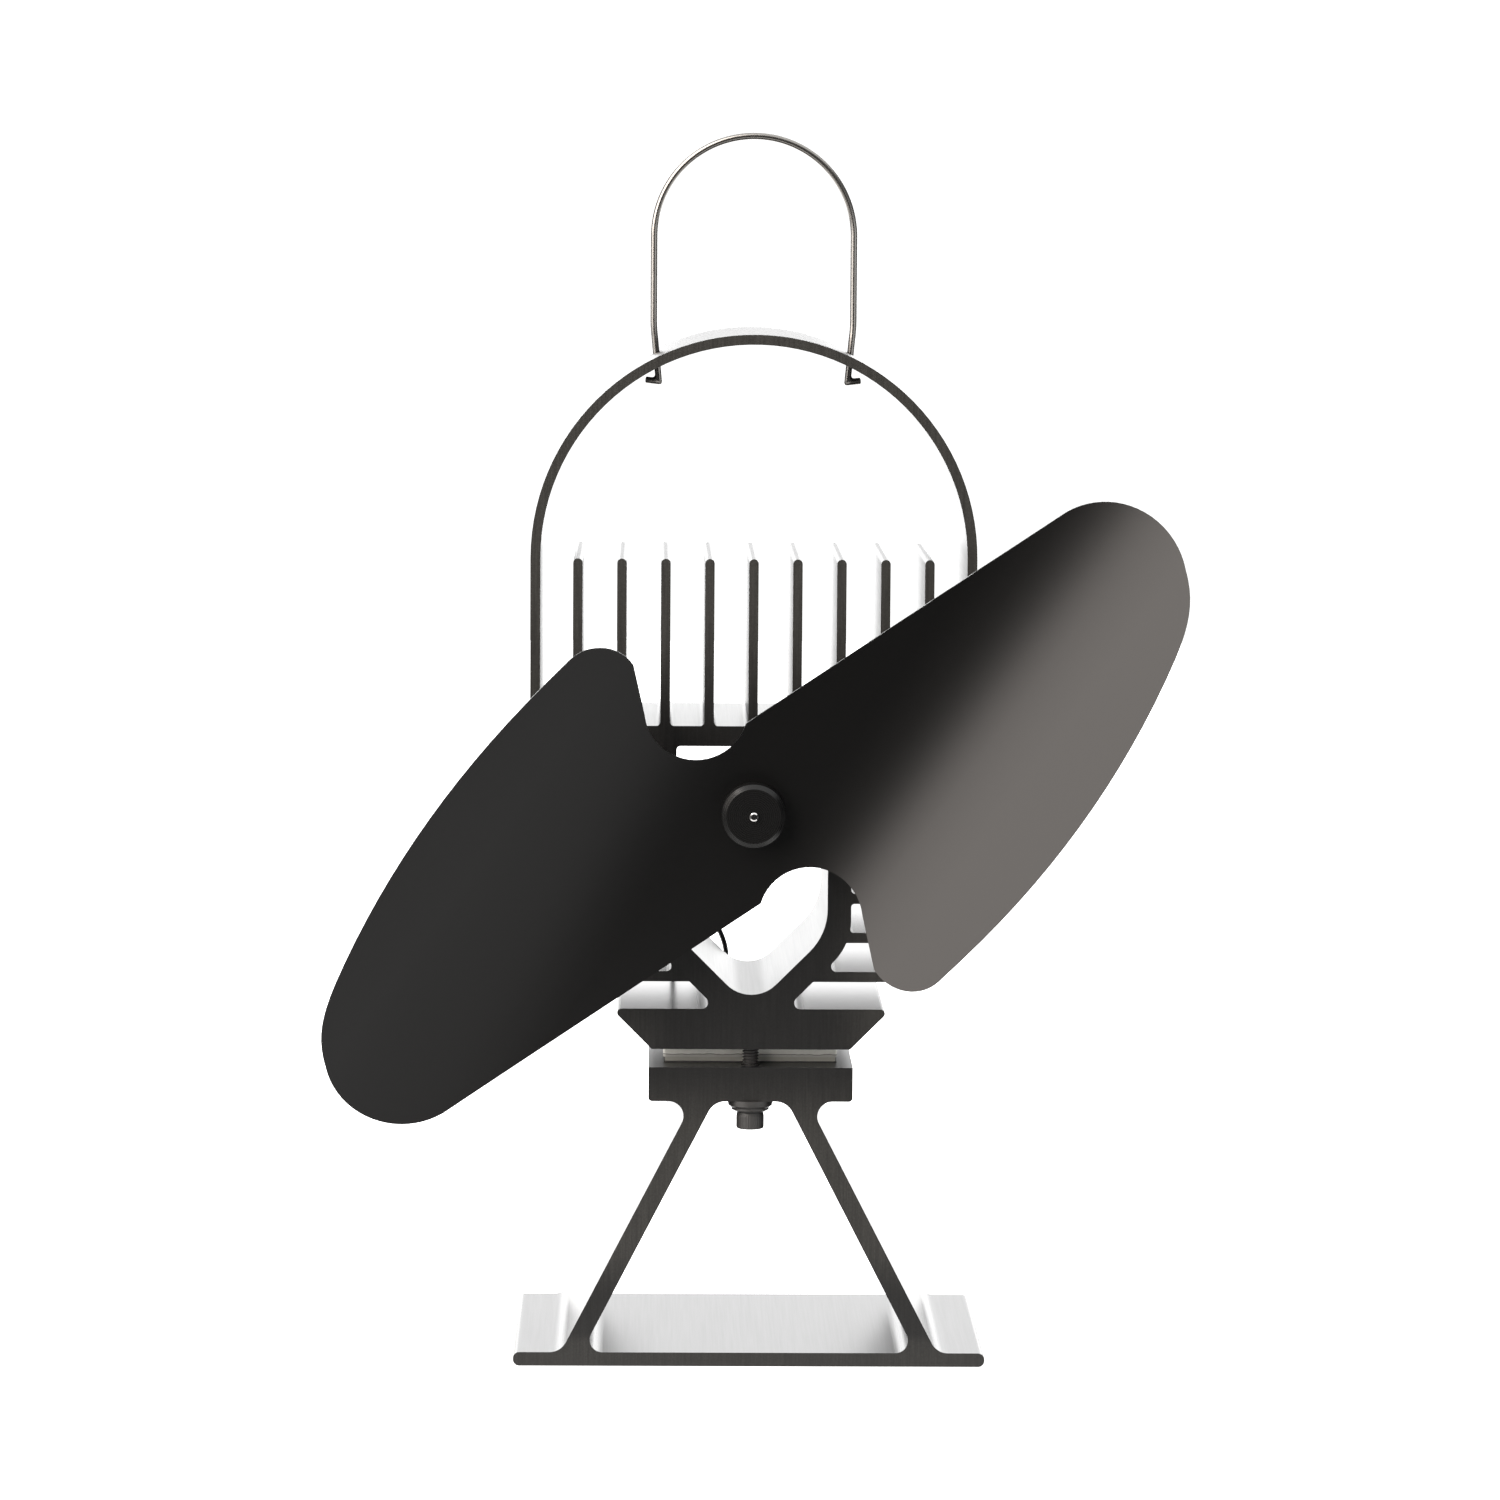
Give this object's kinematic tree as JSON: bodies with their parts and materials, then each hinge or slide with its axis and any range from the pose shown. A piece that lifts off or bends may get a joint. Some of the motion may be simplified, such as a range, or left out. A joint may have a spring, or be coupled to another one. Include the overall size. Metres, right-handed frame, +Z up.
{
  "type": "stove fan",
  "caption": "Free-standing heat-powered stove fan: bent two-lobe blade on a motor in a finned, arched heat sink, over a thermoelectric module on a legged stand.",
  "frame": {"origin": "centre of the stand's flat underside, where it rests on the stove", "axes": "+Z up, +Y to the back, away from the blade, +X to the right seen from the front"},
  "size_m": [0.1976, 0.1037, 0.2884],
  "materials": {
    "anodised_extrusion": "black anodised, satin",
    "blade_black": "black anodised sheet, matt satin",
    "hub_black": "turned and black anodised",
    "handle_wire": "bright drawn stainless wire",
    "module_ceramic": "matt white alumina",
    "module_core": "dull grey",
    "edge_sealant": "matt grey silicone",
    "graphite": "dull graphite sheet",
    "black_steel": "black oxide",
    "zinc_steel": "zinc plated",
    "motor_steel": "nickel plated, satin",
    "motor_plastic": "moulded black",
    "bearing_bronze": "sintered",
    "magnet_ferrite": "matt grey ferrite",
    "winding_copper": "enamelled copper wire",
    "brush_carbon": "carbon",
    "shaft_steel": "ground",
    "lead_insulation": "silicone"
  },
  "bodies": {
    "stand": {"base_stand": "anodised_extrusion", "heat_sink": "anodised_extrusion", "module_hot_plate": "module_ceramic", "module_cold_plate": "module_ceramic", "module_pellets": "module_core", "module_edge_seal": "edge_sealant", "graphite_pad_lower": "graphite", "graphite_pad_upper": "graphite", "clamp_screws": "black_steel", "flat_washers": "black_steel", "spring_washers": "black_steel", "motor_can": "motor_steel", "motor_end_cap": "motor_plastic", "front_bearing": "bearing_bronze", "rear_bearing": "bearing_bronze", "motor_magnets": "magnet_ferrite", "motor_brushes": "brush_carbon", "motor_terminals": "zinc_steel", "motor_bracket": "black_steel", "motor_screws": "zinc_steel", "bracket_screws": "zinc_steel", "first_lead": "lead_insulation", "second_lead": "lead_insulation", "lead_sleeves": "lead_insulation"},
    "rotor": {"motor_shaft": "shaft_steel", "rotor_core": "motor_steel", "rotor_windings": "winding_copper", "commutator": "winding_copper", "blade_hub": "hub_black", "hub_collar": "hub_black", "fan_blade": "blade_black"},
    "handle": {"carry_handle": "handle_wire"}
  },
  "joints": [
    {"name": "blade_spin", "type": "hinge", "parent": "stand", "child": "rotor", "pos_m": [0, -0.0479, 0.1323], "axis": [0, -1, 0], "continuous": true},
    {"name": "handle_slide", "type": "slide", "parent": "stand", "child": "handle", "axis": [0, 0, 1], "range_m": [-0.026, 0.0015]}
  ]
}
